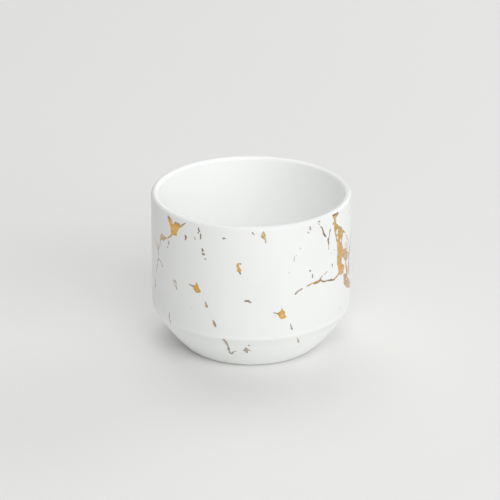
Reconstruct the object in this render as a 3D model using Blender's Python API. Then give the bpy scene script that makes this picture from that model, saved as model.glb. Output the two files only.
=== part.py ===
"""A handleless ceramic mug, turned as one hollow piece: an upright wall with a full round lip,
a soft shoulder, a slightly bellied taper below it, and an underside recessed inside a foot ring.

Metres, +Z up. The mug stands on z = 0 with its axis on the Z axis."""

import math

import bmesh
import bpy
from mathutils import Matrix, Vector

MM = 0.001

# Outside
HEIGHT = 67.5 * MM  # table to the top of the lip
WALL_RADIUS = 42.0 * MM  # outside of the upright wall
SHOULDER_HEIGHT = 17.6 * MM  # where the upright wall and the taper would meet if the bend were sharp
SHOULDER_BEND = 3.0 * MM  # radius of that bend
FOOT_RADIUS = 28.6 * MM  # where the taper would meet the table if the edge were sharp
FOOT_EDGE = 3.0 * MM  # radius of the edge between the taper and the foot ring
BELLY = 0.8 * MM  # how far the middle of the taper stands out from a straight line

# Walls
WALL = 2.8 * MM  # upright wall, and so the thickness of the round lip
TAPER_WALL = 3.2 * MM  # wall behind the straight line of the taper
FLOOR = 3.8 * MM  # between the recess below and the inside above

# Inside
INNER_SHOULDER_BEND = 7.0 * MM
INNER_FLOOR_BEND = 9.0 * MM

# Underside
FOOT_RING = 3.4 * MM  # width of the flat ring that the mug stands on
RECESS_DEPTH = 1.4 * MM
RECESS_LEAN = 1.2 * MM  # how far the side of the recess leans inwards on its way up
RECESS_EDGE = 0.6 * MM  # radius of both edges of the recess

STEPS_ROUND = 96
CHORD_ERROR = 0.02 * MM  # most that a straight step of the profile leaves its curve
SHARP_ANGLE = math.radians(35.0)
WELD = 0.001 * MM

GLAZE_COLOUR = (0.87, 0.88, 0.875, 1.0)
GLAZE_ROUGHNESS = 0.28


def clear_scene():
    for obj in list(bpy.data.objects):
        bpy.data.objects.remove(obj, do_unlink=True)


def arc(centre, radius, start, end):
    """Points on a circle from one angle to another, both ends included."""
    step = 2 * math.acos(1 - CHORD_ERROR / radius)
    count = max(2, math.ceil(abs(end - start) / step))
    angles = [start + (end - start) * i / count for i in range(count + 1)]
    return [centre + radius * Vector((math.cos(a), math.sin(a))) for a in angles]


def rounded(before, corner, after, radius):
    """The arc that rounds one corner of the profile."""
    back = (before - corner).normalized()
    on = (after - corner).normalized()
    half = back.angle(on) / 2
    centre = corner + (back + on).normalized() * radius / math.sin(half)
    first = corner + back * radius / math.tan(half) - centre
    last = corner + on * radius / math.tan(half) - centre
    start = math.atan2(first.y, first.x)
    turn = math.atan2(first.x * last.y - first.y * last.x, first.dot(last))
    return arc(centre, radius, start, start + turn)


def meeting(point, direction, other, other_direction):
    """Where two lines of the profile cross."""
    gap = other - point
    cross = direction.x * other_direction.y - direction.y * other_direction.x
    along = (gap.x * other_direction.y - gap.y * other_direction.x) / cross
    return point + direction * along


def bellied_taper(shoulder, foot):
    """The outside from the foot ring up to the wall: one arc through both sharp corners, blended into each.

    Each blend is a circle inside the belly's circle that touches it, so both have one direction there."""
    half_chord = (shoulder - foot).length / 2
    radius = (half_chord**2 + BELLY**2) / (2 * BELLY)
    along = (shoulder - foot).normalized()
    inwards = Vector((-along.y, along.x))
    centre = (shoulder + foot) / 2 + inwards * (radius - BELLY)

    foot_reach = math.sqrt((radius - FOOT_EDGE) ** 2 - (FOOT_EDGE - centre.y) ** 2)
    foot_centre = Vector((centre.x + foot_reach, FOOT_EDGE))
    bend_across = shoulder.x - SHOULDER_BEND - centre.x
    bend_drop = math.sqrt((radius - SHOULDER_BEND) ** 2 - bend_across**2)
    bend_centre = Vector((shoulder.x - SHOULDER_BEND, centre.y - bend_drop))

    to_foot = foot_centre - centre
    to_bend = bend_centre - centre
    foot_angle = math.atan2(to_foot.y, to_foot.x)
    bend_angle = math.atan2(to_bend.y, to_bend.x)
    points = arc(foot_centre, FOOT_EDGE, -math.pi / 2, foot_angle)
    points += arc(centre, radius, foot_angle, bend_angle)[1:-1]
    points += arc(bend_centre, SHOULDER_BEND, bend_angle, 0.0)
    return points


def mug_profile():
    """Radius and height of each point, from the middle of the underside out, up and back down inside."""
    up = Vector((0.0, 1.0))
    level = Vector((1.0, 0.0))

    shoulder = Vector((WALL_RADIUS, SHOULDER_HEIGHT))
    foot = Vector((FOOT_RADIUS, 0.0))
    outside = bellied_taper(shoulder, foot)
    lip_centre = Vector((WALL_RADIUS - WALL / 2, HEIGHT - WALL / 2))

    # The inside follows the upright wall, the straight line of the taper and the level floor
    taper = (shoulder - foot).normalized()
    inner_taper = shoulder + Vector((-taper.y, taper.x)) * TAPER_WALL
    inner_wall = Vector((WALL_RADIUS - WALL, HEIGHT))
    inner_floor = Vector((0.0, RECESS_DEPTH + FLOOR))
    inner_shoulder = meeting(inner_taper, taper, inner_wall, up)
    inner_corner = meeting(inner_taper, taper, inner_floor, level)

    # The recess starts where the flat ring ends
    ring_outside = outside[0]
    ring_inside = ring_outside - level * FOOT_RING
    recess_corner = ring_inside + Vector((-RECESS_LEAN, RECESS_DEPTH))
    recess_middle = Vector((0.0, RECESS_DEPTH))

    points = [recess_middle]
    points += rounded(recess_middle, recess_corner, ring_inside, RECESS_EDGE)
    points += rounded(recess_corner, ring_inside, ring_outside, RECESS_EDGE)
    points += outside
    points += arc(lip_centre, WALL / 2, 0.0, math.pi)
    points += rounded(inner_wall, inner_shoulder, inner_corner, INNER_SHOULDER_BEND)
    points += rounded(inner_shoulder, inner_corner, inner_floor, INNER_FLOOR_BEND)
    points.append(inner_floor)
    return points


def turned(name, profile):
    """A closed solid of revolution about the Z axis."""
    shape = bmesh.new()
    verts = [shape.verts.new((point.x, 0.0, point.y)) for point in profile]
    edges = [shape.edges.new(pair) for pair in zip(verts, verts[1:])]
    bmesh.ops.spin(
        shape,
        geom=verts + edges,
        cent=(0.0, 0.0, 0.0),
        axis=(0.0, 0.0, 1.0),
        angle=math.tau,
        steps=STEPS_ROUND,
        space=Matrix.Identity(4),
        use_merge=True,
    )
    bmesh.ops.remove_doubles(shape, verts=shape.verts, dist=WELD)
    bmesh.ops.dissolve_degenerate(shape, edges=shape.edges, dist=WELD)
    bmesh.ops.recalc_face_normals(shape, faces=shape.faces)
    mesh = bpy.data.meshes.new(name)
    shape.to_mesh(mesh)
    shape.free()
    mesh.shade_smooth()
    mesh.set_sharp_from_angle(angle=SHARP_ANGLE)
    return mesh


def glaze():
    material = bpy.data.materials.new("white_glaze")
    material.use_nodes = True
    shader = material.node_tree.nodes["Principled BSDF"]
    shader.inputs["Base Color"].default_value = GLAZE_COLOUR
    shader.inputs["Roughness"].default_value = GLAZE_ROUGHNESS
    shader.inputs["Metallic"].default_value = 0.0
    return material


def make_mug():
    mesh = turned("mug_body", mug_profile())
    mesh.materials.append(glaze())
    mug = bpy.data.objects.new("mug_body", mesh)
    bpy.context.scene.collection.objects.link(mug)
    return mug


def main():
    clear_scene()
    make_mug()


if __name__ == "__main__":
    main()
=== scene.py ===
"""A handleless white mug with a gold marbled print, on a pale studio floor.

The mug is one piece. Its body is spun from a profile. The print is then cut into the faces of the
outer wall, so that its edges stay crisp from any distance and nothing stands up from the glaze."""

import math

import bmesh
import bpy
from bpy.props import FloatProperty, FloatVectorProperty, IntProperty, PointerProperty
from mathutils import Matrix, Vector, kdtree, noise
from mathutils.geometry import delaunay_2d_cdt


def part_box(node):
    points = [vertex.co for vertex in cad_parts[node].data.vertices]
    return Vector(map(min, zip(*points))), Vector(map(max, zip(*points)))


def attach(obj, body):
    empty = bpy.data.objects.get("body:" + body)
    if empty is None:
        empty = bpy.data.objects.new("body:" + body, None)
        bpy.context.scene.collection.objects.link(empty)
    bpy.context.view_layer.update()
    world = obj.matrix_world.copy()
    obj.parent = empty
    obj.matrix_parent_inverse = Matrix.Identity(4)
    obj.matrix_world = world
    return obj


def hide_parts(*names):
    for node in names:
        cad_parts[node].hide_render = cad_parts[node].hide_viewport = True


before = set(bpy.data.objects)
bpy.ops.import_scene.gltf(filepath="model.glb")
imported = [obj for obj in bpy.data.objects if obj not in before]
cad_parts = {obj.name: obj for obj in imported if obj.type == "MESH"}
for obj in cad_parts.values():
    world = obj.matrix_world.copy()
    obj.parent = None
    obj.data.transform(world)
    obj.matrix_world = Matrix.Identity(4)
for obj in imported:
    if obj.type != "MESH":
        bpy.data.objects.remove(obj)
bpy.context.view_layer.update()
MUG_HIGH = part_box("mug_body")[1]

bl_info = {
    "name": "Gold print mug",
    "version": (1, 0, 0),
    "blender": (4, 5, 0),
    "location": "3D View > Sidebar > Mug",
    "description": "A handleless mug with a gold marbled print in its glaze, on a studio floor",
    "category": "Object",
}

MM = 0.001
CHORD_ERROR = 0.005 * MM  # most that a straight step of a bend leaves its curve
FINE_CHORD_ERROR = 0.0004 * MM  # the same for the line that the shading follows
FINE_STEP = 0.15 * MM  # distance between the places on that line where its direction is read
WELD = 0.002 * MM  # points this close are made one
NEAR = 0.01 * MM  # close enough to count as on the axis, the lip or the table
SHORTEST_STEP = 0.0005 * MM  # points of a profile closer than this are one
HAIR = 0.0001 * MM  # just off a height
LAMP_AIM = Vector((0.0, 0.0, 30.0 * MM))

# Levels of the noise at which the edges and the widths of the print are read
WANDER_LEVELS = (3.7, 5.3)
FINE_WANDER_LEVELS = (9.1, 12.4)
SWELL_LEVEL = 21.0

MUG = "mug_glazed"
OUTER_GLAZE, GOLD, INNER_GLAZE, BISCUIT = range(4)  # order of the finishes on the mug
MIDDLE = {"From_Min": 0.3, "From_Max": 0.7}  # where nearly all of a noise texture's values lie

# The print, read on the wall. A joint of a line is its angle in degrees, nought at the front and
# growing to the right, its height above the table in millimetres and the width of the line there.
# One joint alone is a dot. A patch is its outline, as angle and height.

FRONT_LINES = (
    # Left of the bloom and under it
    ((-51.2, 57.9, 1.0), (-52.7, 57.1, 0.7), (-54.0, 56.3, 0.5), (-55.6, 55.5, 0.6)),
    ((-62.9, 53.8, 0.9), (-63.5, 52.6, 0.5)),
    ((-45.0, 63.3, 1.1), (-42.6, 63.9, 0.8)),
    # Branch that leaves the big vein to the left
    ((60.2, 38.6, 1.3), (58.4, 37.9, 0.8), (56.6, 37.6, 0.6)),
    ((38.0, 39.7, 0.8), (35.8, 39.4, 0.55), (34.2, 39.2, 0.6), (32.8, 39.0, 0.3)),
    ((54.0, 62.9, 1.0), (53.1, 62.3, 0.5)),
    ((64.2, 56.8, 1.2), (66.2, 55.7, 0.8), (68.8, 54.7, 0.4)),
)

DULL_LINES = (
    ((42.5, 63.7, 0.4), (43.8, 62.8, 0.7), (44.6, 61.4, 0.8), (45.1, 60.1, 0.7), (46.2, 58.9, 0.8),
     (47.4, 58.0, 0.4)),
    # Tip, notch and arm of the bloom
    ((-54.2, 65.7, 0.9), (-53.6, 65.0, 0.9), (-53.0, 64.2, 0.5)),
    ((-47.6, 64.5, 0.7), (-46.4, 64.4, 0.9), (-45.2, 64.3, 0.6)),
    ((-42.8, 63.9, 0.8), (-41.4, 64.8, 0.6), (-39.8, 65.7, 0.45)),
    # Arm of the bright blob
    ((15.8, 28.9, 1.1), (14.2, 29.2, 0.6), (12.6, 29.7, 0.3)),
    # Between the big vein and the bright stretch of its branch
    ((56.8, 37.6, 0.72), (55.0, 37.2, 0.9), (53.4, 37.4, 0.66), (51.8, 37.8, 0.84),
     (50.0, 38.1, 0.66), (48.0, 38.3, 0.6), (46.0, 38.5, 0.72), (44.5, 39.0, 0.84), (43.4, 39.6, 0.96)),
    ((42.6, 40.2, 0.9), (43.5, 40.9, 0.6), (44.8, 41.5, 0.3)),
    ((-34.3, 38.8, 0.8), (-36.0, 38.9, 0.5), (-37.6, 39.1, 0.3)),
)

GREY_LINES = (
    ((-67.0, 48.0, 0.8), (-66.7, 45.9, 0.55), (-66.6, 44.1, 0.5), (-66.5, 43.3, 0.9)),
    ((-66.4, 43.5, 0.7), (-64.3, 43.2, 0.5), (-62.2, 42.2, 0.45), (-61.2, 41.4, 0.9)),
    ((-66.6, 43.2, 0.7), (-67.8, 42.4, 0.6), (-68.4, 40.9, 0.55), (-68.9, 39.6, 0.6),
     (-70.1, 38.1, 0.55), (-71.4, 36.1, 0.45)),
    ((-71.8, 51.9, 0.5), (-70.8, 50.3, 0.5), (-69.2, 48.7, 0.5), (-67.1, 47.2, 0.6)),
    ((-63.6, 52.8, 0.6), (-63.9, 50.6, 0.5), (-65.3, 48.9, 0.5), (-66.9, 47.4, 0.7)),
)

AMBER_MARKS = (
    ((-6.9, 51.9, 0.91), (-7.5, 51.1, 1.17), (-7.1, 50.0, 1.3), (-6.8, 49.0, 1.56), (-6.5, 48.2, 1.17)),
)

TAN_MARKS = (
    ((-26.6, 32.9, 1.04), (-26.1, 31.8, 1.3), (-25.7, 30.8, 1.04)),
    ((-21.8, 25.3, 0.9), (-21.1, 24.0, 1.2), (-20.4, 22.7, 0.9)),
)

BROWN_MARKS = (
    ((-5.9, 51.8, 0.8),),
    ((-6.3, 47.9, 0.6), (-5.9, 47.4, 0.9)),
    ((-40.3, 60.5, 0.4), (-39.6, 59.9, 0.75), (-39.5, 59.0, 0.75), (-40.0, 58.3, 0.5)),
    ((-30.6, 65.2, 0.7), (-30.5, 64.5, 0.45), (-30.1, 63.9, 0.8)),
    ((-30.8, 63.1, 0.7),),
    ((-29.3, 63.0, 0.4), (-29.3, 61.6, 0.8), (-29.6, 60.4, 0.4)),
    ((-28.4, 56.6, 0.5), (-28.0, 55.4, 0.8)),
    ((-28.2, 54.1, 1.2), (-27.4, 54.1, 1.4)),
    ((-1.4, 14.5, 0.8),),
)

SOFT_MARKS = (
    ((-73.2, 32.8, 0.49), (-73.0, 30.6, 0.85), (-73.3, 28.4, 0.49)),
    ((-54.3, 22.2, 0.61), (-54.3, 19.5, 0.49), (-53.2, 18.4, 0.61), (-53.0, 17.6, 0.37)),
    # Hooked stroke low at the front
    ((-16.0, 17.2, 1.07), (-14.9, 15.9, 1.18), (-14.2, 14.3, 0.96), (-13.9, 12.5, 0.85),
     (-14.1, 10.6, 0.96), (-14.0, 9.2, 0.96), (-13.3, 8.3, 0.85), (-12.2, 8.9, 0.85),
     (-11.4, 9.9, 0.96), (-10.3, 10.1, 0.76), (-8.9, 10.2, 0.32)),
    # Star fleck low at the front
    ((-3.1, 13.0, 0.59), (-3.0, 11.7, 1.76), (-3.0, 10.5, 1.32), (-2.4, 9.5, 0.44)),
    ((-4.9, 11.0, 0.44), (-3.4, 11.6, 1.17), (-1.8, 11.6, 0.73), (-0.3, 11.2, 0.44)),
    ((-15.9, 62.3, 0.6), (-15.0, 62.45, 0.74), (-14.1, 62.4, 0.6)),
    ((0.5, 65.6, 0.49), (1.2, 65.1, 0.85), (2.1, 64.7, 0.61)),
    ((-3.6, 35.2, 0.73), (-2.0, 35.4, 0.98), (-0.9, 35.0, 0.85), (-0.1, 34.6, 0.61)),
    ((-53.7, 54.7, 0.55), (-54.3, 53.2, 0.61)),
    ((-54.7, 52.3, 0.49), (-55.6, 51.3, 0.61)),
    ((-33.3, 60.8, 0.61), (-33.0, 59.9, 0.85)),
    ((-26.4, 52.1, 0.98),),
    ((22.7, 23.5, 0.61), (23.2, 22.2, 0.85), (23.8, 20.9, 0.49)),
    ((27.6, 16.3, 0.51), (28.9, 14.6, 0.85), (30.4, 12.6, 0.43)),
    ((29.8, 38.4, 0.85), (28.0, 37.9, 0.85), (26.5, 37.2, 0.98), (25.2, 36.5, 0.61)),
    ((35.3, 45.5, 1.02),),
    ((36.9, 43.7, 0.73), (36.9, 42.2, 0.85)),
    ((34.9, 65.1, 0.61), (35.1, 63.8, 0.73)),
    ((33.8, 62.7, 0.85),),
    ((40.5, 66.1, 0.49), (42.0, 66.3, 0.61)),
    ((51.0, 60.9, 0.49), (50.3, 59.5, 0.67), (49.9, 58.0, 0.67), (49.0, 56.6, 0.98),
     (49.4, 54.5, 0.49), (49.2, 51.9, 0.43)),
    ((53.0, 44.6, 0.85), (53.0, 43.5, 0.85)),
    ((51.9, 49.8, 0.73),),
    ((55.1, 50.6, 0.61),),
)

LIP_MARK = (
    ((52.3, 66.35, 0.22), (54.0, 66.42, 0.26), (56.0, 66.45, 0.26), (58.3, 66.45, 0.22)),
)

FAINT_MARKS = (
    ((-35.8, 28.7, 0.6),),
    ((13.6, 18.7, 0.5),),
    ((13.8, 28.2, 0.6),),
    ((24.6, 51.4, 0.4), (24.9, 53.5, 0.5)),
    ((26.0, 53.8, 0.5),),
    ((28.7, 56.6, 0.6),),
    ((21.9, 46.7, 0.5),),
    ((40.6, 65.4, 0.5), (42.0, 64.8, 0.4)),
    ((46.2, 41.7, 0.5), (48.6, 42.5, 0.4)),
    ((62.5, 22.4, 0.5), (62.5, 21.5, 0.4)),
    ((74.5, 22.9, 0.5), (74.6, 22.0, 0.4)),
    ((77.4, 61.4, 0.9),),
    ((79.0, 66.4, 0.7), (80.6, 64.6, 0.5), (81.2, 62.6, 0.5)),
)

SIDE_VEINS = (
    ((69.4, 53.7, 0.3), (71.0, 52.2, 0.6), (73.0, 50.6, 0.7), (75.0, 48.8, 0.8), (74.6, 47.0, 0.8)),
    ((69.6, 42.0, 0.9), (70.2, 40.4, 1.1), (71.4, 38.4, 1.5), (72.8, 36.2, 2.2), (73.6, 34.2, 2.2)),
    # Out of sight the vein runs on, thinner, up to the lip and down to the foot
    ((83.0, 26.8, 2.2), (88.5, 24.6, 1.8), (93.0, 23.4, 1.6), (98.0, 21.6, 1.3), (103.0, 20.4, 1.1),
     (107.5, 18.0, 0.9), (110.5, 15.0, 0.5)),
    ((90.5, 25.6, 1.2), (96.5, 28.2, 1.2), (103.0, 30.4, 1.0), (109.5, 33.0, 0.9), (114.0, 37.2, 0.8),
     (117.5, 42.6, 0.6), (122.5, 46.6, 0.4)),
    ((101.0, 30.0, 0.9), (104.5, 34.6, 0.7), (108.5, 39.5, 0.6), (111.0, 45.5, 0.5),
     (109.5, 51.0, 0.4)),
    ((107.0, 18.6, 0.9), (112.5, 20.4, 0.6), (118.5, 19.6, 0.5), (123.5, 21.3, 0.3)),
)

PALE_VEINS = (
    ((92.0, 55.6, 0.4), (88.0, 52.2, 1.2), (84.6, 49.0, 2.4), (81.6, 46.0, 3.5), (79.6, 43.8, 4.2),
     (77.8, 41.6, 4.4), (77.0, 39.6, 4.0), (77.2, 37.2, 3.2), (77.8, 35.2, 2.6), (79.6, 32.4, 1.8)),
    ((84.6, 49.0, 0.7), (89.0, 47.4, 0.6), (94.0, 48.6, 0.5), (98.5, 52.4, 0.4)),
)

ROSE_MARKS = (
    ((-49.9, 37.9, 1.17), (-48.9, 38.2, 1.17), (-47.8, 37.6, 0.78), (-47.1, 36.6, 0.65),
     (-47.6, 35.7, 0.65), (-48.6, 36.2, 0.65), (-49.3, 37.2, 0.78)),
    ((-47.5, 35.7, 0.52), (-47.1, 34.7, 0.65)),
)

BACK_VEINS = (
    ((-166.0, 66.2, 0.9), (-164.5, 62.8, 0.7), (-160.8, 60.0, 0.9), (-158.2, 55.6, 1.1),
     (-154.6, 52.6, 0.8), (-152.4, 47.8, 0.6), (-147.5, 44.4, 0.4)),
    ((-158.3, 55.6, 0.9), (-163.0, 52.2, 0.6), (-167.5, 51.0, 0.5), (-171.6, 47.4, 0.3)),
    ((-152.6, 48.0, 0.6), (-155.6, 43.6, 0.5), (-155.0, 38.8, 0.4)),
    ((-108.0, 31.6, 0.4), (-112.4, 29.9, 0.7), (-116.8, 29.6, 1.1), (-121.5, 26.8, 0.8),
     (-125.5, 22.4, 0.9), (-127.0, 17.2, 0.6), (-130.5, 12.8, 0.4)),
    ((-117.0, 29.4, 1.0), (-119.0, 33.6, 0.6), (-122.8, 36.2, 0.4)),
)

BACK_MARKS = (
    ((-88.5, 57.6, 0.5), (-89.4, 55.8, 0.8), (-89.0, 54.4, 0.4)),
    ((-97.0, 47.6, 0.8),),
    ((-101.0, 61.8, 0.5), (-102.3, 60.2, 0.6)),
    ((-93.0, 22.4, 0.6), (-94.6, 20.6, 0.8), (-94.2, 19.0, 0.4)),
    ((-137.0, 33.0, 0.5), (-136.2, 31.2, 0.9), (-137.0, 29.6, 0.5)),
    ((-141.5, 58.6, 1.0),),
    ((-171.0, 27.0, 0.5), (-169.6, 25.2, 0.8), (-169.2, 23.2, 0.4)),
    ((128.0, 58.0, 0.5), (129.4, 56.2, 0.9), (129.0, 54.2, 0.5)),
    ((137.5, 44.0, 0.8),),
    ((133.0, 29.0, 0.4), (135.0, 28.4, 0.8), (137.2, 28.8, 0.4)),
    ((148.0, 36.0, 0.5), (149.2, 34.2, 0.7)),
    ((151.0, 62.5, 0.6), (151.6, 60.6, 0.4)),
    ((118.0, 9.0, 0.5), (119.6, 7.6, 0.7), (121.4, 7.4, 0.3)),
    ((160.0, 13.6, 0.9),),
    ((167.0, 49.5, 0.5), (168.8, 48.2, 0.9), (170.4, 48.4, 0.4)),
)

BLOOMS = (
    # Spiked bloom near the lip
    ((-54.3, 65.9), (-51.8, 65.7), (-50.8, 64.7), (-49.9, 63.2), (-48.8, 63.6), (-48.3, 64.6),
     (-47.3, 64.0), (-46.1, 65.0), (-45.4, 64.4), (-44.1, 65.1), (-43.6, 64.0), (-43.5, 63.0),
     (-45.2, 62.1), (-45.9, 60.9), (-46.3, 59.6), (-46.6, 58.8), (-48.0, 58.6), (-49.6, 58.7),
     (-51.3, 57.8), (-51.6, 59.5), (-52.0, 60.9), (-52.5, 61.9), (-53.3, 62.9), (-54.2, 64.0)),
    # Small patch left of centre
    ((-32.2, 41.4), (-31.4, 40.0), (-31.0, 39.0), (-30.2, 38.0), (-29.3, 37.3), (-30.0, 36.6),
     (-31.5, 36.2), (-33.0, 36.3), (-34.0, 37.2), (-34.9, 38.4), (-34.0, 39.2), (-33.0, 39.8)),
    # Bright blob right of centre
    ((15.3, 29.4), (15.5, 27.8), (16.5, 26.7), (18.0, 26.3), (19.0, 26.6), (20.6, 27.1), (19.3, 28.0),
     (19.4, 29.0), (18.9, 29.9), (18.0, 30.3), (17.5, 31.8), (17.0, 30.3), (16.3, 29.8)),
)

PALE_BLOOMS = (
    ((-61.8, 56.6), (-60.0, 56.0), (-58.0, 55.8), (-55.8, 55.5), (-57.2, 54.7), (-59.0, 53.6),
     (-61.5, 53.2), (-64.0, 54.2), (-62.8, 55.4)),
    # Right of the big vein
    ((65.2, 48.2), (66.6, 47.6), (68.4, 47.9), (70.0, 46.8), (71.6, 46.6), (73.8, 45.2), (74.4, 43.4),
     (73.6, 41.6), (71.8, 41.0), (70.0, 41.6), (68.0, 42.6), (66.5, 43.6), (64.6, 44.8), (63.0, 46.2),
     (64.0, 47.6)),
    ((66.4, 36.4), (67.0, 34.2), (66.9, 32.3), (69.0, 30.7), (72.0, 29.0), (76.0, 27.4), (80.0, 26.2),
     (85.0, 25.2), (87.0, 26.2), (82.5, 28.4), (79.0, 30.6), (76.0, 32.0), (73.2, 33.6), (70.8, 35.2),
     (68.6, 36.6)),
)

FAINT_BLOOMS = (
    ((-70.2, 50.2), (-68.0, 50.6), (-65.4, 51.2), (-65.4, 49.8), (-66.2, 48.6), (-67.4, 47.6),
     (-69.0, 48.4)),
    ((68.2, 50.0), (70.6, 50.2), (73.4, 48.6), (74.8, 46.4), (73.0, 45.6), (70.8, 46.4), (68.4, 47.8)),
)

BRIGHT_LINES = (
    ((43.6, 39.6, 0.8), (42.4, 39.7, 1.2), (41.0, 39.5, 1.4), (39.4, 39.4, 1.3), (37.6, 39.4, 0.8)),
)

EGG = (
    ((6.9, 65.5, 1.2), (6.8, 64.7, 2.1), (6.9, 63.9, 2.0), (7.4, 63.1, 1.0), (7.9, 62.2, 0.6),
     (8.1, 61.4, 0.5), (8.0, 60.8, 0.3)),
)

BIG_VEIN = (
    # Flare under the lip, neck and body down to where it forks
    ((52.7, 66.3), (53.3, 65.3), (53.9, 64.2), (54.4, 63.1), (54.3, 62.2), (54.1, 61.2), (54.4, 60.1),
     (55.0, 58.6), (55.8, 56.8), (56.2, 55.5), (57.0, 53.9), (57.9, 52.7), (57.8, 51.2), (58.1, 49.5),
     (58.5, 48.1), (57.8, 46.9), (58.3, 45.8), (58.1, 44.4), (58.2, 43.1), (59.1, 42.0), (59.3, 40.6),
     (59.9, 39.4), (59.0, 38.4), (60.6, 37.9), (62.3, 37.2), (63.0, 37.8), (64.0, 36.9), (65.2, 37.4),
     (66.1, 36.6), (67.2, 38.2), (68.1, 40.3), (66.0, 41.1), (64.6, 41.6), (63.6, 42.6), (64.0, 43.8),
     (64.6, 44.8), (65.4, 45.9), (66.3, 47.8), (65.2, 49.1), (64.0, 50.5), (63.8, 51.8), (64.1, 53.7),
     (65.0, 54.7), (65.0, 56.5), (63.7, 57.6), (62.3, 58.7), (60.3, 59.6), (58.4, 60.9), (56.6, 61.9),
     (56.0, 62.8), (56.1, 64.0), (56.6, 64.9), (58.0, 65.2), (59.3, 65.8), (58.6, 66.4), (55.6, 66.4)),
)

OLIVE_PARTS = (
    ((57.6, 61.0), (59.6, 59.9), (62.6, 58.8), (64.6, 57.0), (64.6, 55.6), (62.6, 55.3), (60.4, 55.9),
     (59.2, 57.2), (59.2, 59.0)),
    ((58.5, 47.8), (59.8, 47.4), (61.0, 46.4), (61.6, 44.2), (60.2, 43.0), (58.8, 43.8)),
    ((-33.6, 37.9), (-32.2, 37.8), (-31.4, 36.9), (-32.2, 36.2), (-33.4, 36.5)),
    ((-52.0, 61.4), (-51.0, 61.5), (-50.4, 59.9), (-50.0, 58.6), (-51.3, 58.0), (-51.6, 59.5)),
)

GLOWING_PARTS = (
    ((60.2, 42.2), (62.2, 42.4), (63.4, 41.4), (65.4, 40.8), (66.2, 39.6), (65.2, 38.6), (63.0, 39.4),
     (61.0, 39.6)),
    ((16.3, 29.3), (16.2, 27.8), (17.2, 27.2), (18.4, 27.2), (18.6, 28.4), (18.0, 29.5)),
    ((-49.8, 62.2), (-48.2, 62.8), (-47.4, 61.6), (-48.0, 60.0), (-49.6, 59.6), (-50.4, 60.8)),
)

BARE_PATCHES = (
    ((57.1, 59.5), (58.3, 59.2), (58.6, 57.7), (58.3, 56.6), (57.4, 56.6), (56.6, 57.6)),
    ((57.6, 56.2), (58.4, 55.9), (58.7, 54.9), (58.1, 54.2), (57.5, 55.1)),
    ((61.5, 54.3), (62.3, 53.9), (62.9, 52.5), (62.1, 51.8), (61.3, 53.0)),
    ((71.3, 33.1), (72.8, 32.9), (72.9, 32.1), (71.6, 32.2)),
    ((71.8, 46.2), (73.2, 45.8), (73.0, 44.8), (71.9, 45.2)),
)


class MugSizes(bpy.types.PropertyGroup):
    """Sizes of the body. Height and radius come from the CAD solid, so that the two stay one shape."""

    height: FloatProperty(
        name="Height", description="Table to the top of the lip", default=MUG_HIGH[2], unit="LENGTH")
    wall_radius: FloatProperty(
        name="Wall radius", description="Outside of the upright wall",
        default=MUG_HIGH[0], unit="LENGTH")
    shoulder_height: FloatProperty(
        name="Shoulder height", description="Where wall and taper would meet in a sharp corner",
        default=17.6 * MM, unit="LENGTH")
    shoulder_bend: FloatProperty(
        name="Shoulder bend", description="Radius of the bend at the shoulder",
        default=3.0 * MM, unit="LENGTH")
    foot_radius: FloatProperty(
        name="Foot radius", description="Where the taper would meet the table in a sharp corner",
        default=28.6 * MM, unit="LENGTH")
    foot_edge: FloatProperty(
        name="Foot edge", description="Radius of the edge above the foot ring",
        default=3.0 * MM, unit="LENGTH")
    belly: FloatProperty(
        name="Belly", description="How far the taper swells from a straight line",
        default=0.8 * MM, unit="LENGTH")
    wall: FloatProperty(
        name="Wall", description="Upright wall, and the width of the round lip",
        default=2.8 * MM, unit="LENGTH")
    taper_wall: FloatProperty(
        name="Taper wall", description="Wall behind the taper", default=3.2 * MM, unit="LENGTH")
    floor: FloatProperty(
        name="Floor", description="Thickness of the bottom", default=3.8 * MM, unit="LENGTH")
    inner_shoulder_bend: FloatProperty(
        name="Inner shoulder bend", description="Radius inside the shoulder",
        default=7.0 * MM, unit="LENGTH")
    inner_floor_bend: FloatProperty(
        name="Inner floor bend", description="Radius between taper and floor inside",
        default=9.0 * MM, unit="LENGTH")
    foot_ring: FloatProperty(
        name="Foot ring", description="Width of the ring that the mug stands on",
        default=3.4 * MM, unit="LENGTH")
    recess_depth: FloatProperty(
        name="Recess depth", description="Depth of the hollow underneath",
        default=1.4 * MM, unit="LENGTH")
    recess_lean: FloatProperty(
        name="Recess lean", description="How far the side of the hollow leans in",
        default=1.2 * MM, unit="LENGTH")
    recess_edge: FloatProperty(
        name="Recess edge", description="Radius of both edges of the hollow",
        default=0.6 * MM, unit="LENGTH")
    steps_round: IntProperty(
        name="Steps round", description="Columns of faces round the mug", default=144)
    row_height: FloatProperty(
        name="Row height", description="Tallest face on the outside", default=1.8 * MM, unit="LENGTH")


class MugPrint(bpy.types.PropertyGroup):
    """How the gold print is cut."""

    raggedness: FloatProperty(
        name="Raggedness", description="How far the edge of the gold wanders",
        default=0.14 * MM, unit="LENGTH")
    grain: FloatProperty(
        name="Grain", description="Distance over which an edge wanders once",
        default=0.9 * MM, unit="LENGTH")
    swelling: FloatProperty(
        name="Swelling", description="How unevenly a line swells along its length",
        default=0.35, subtype="FACTOR")
    edge_step: FloatProperty(
        name="Edge step", description="Distance between points along an edge",
        default=0.32 * MM, unit="LENGTH")
    rim: FloatProperty(
        name="Rim", description="Width over which the gold deepens towards its edge",
        default=0.7 * MM, unit="LENGTH")


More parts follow.
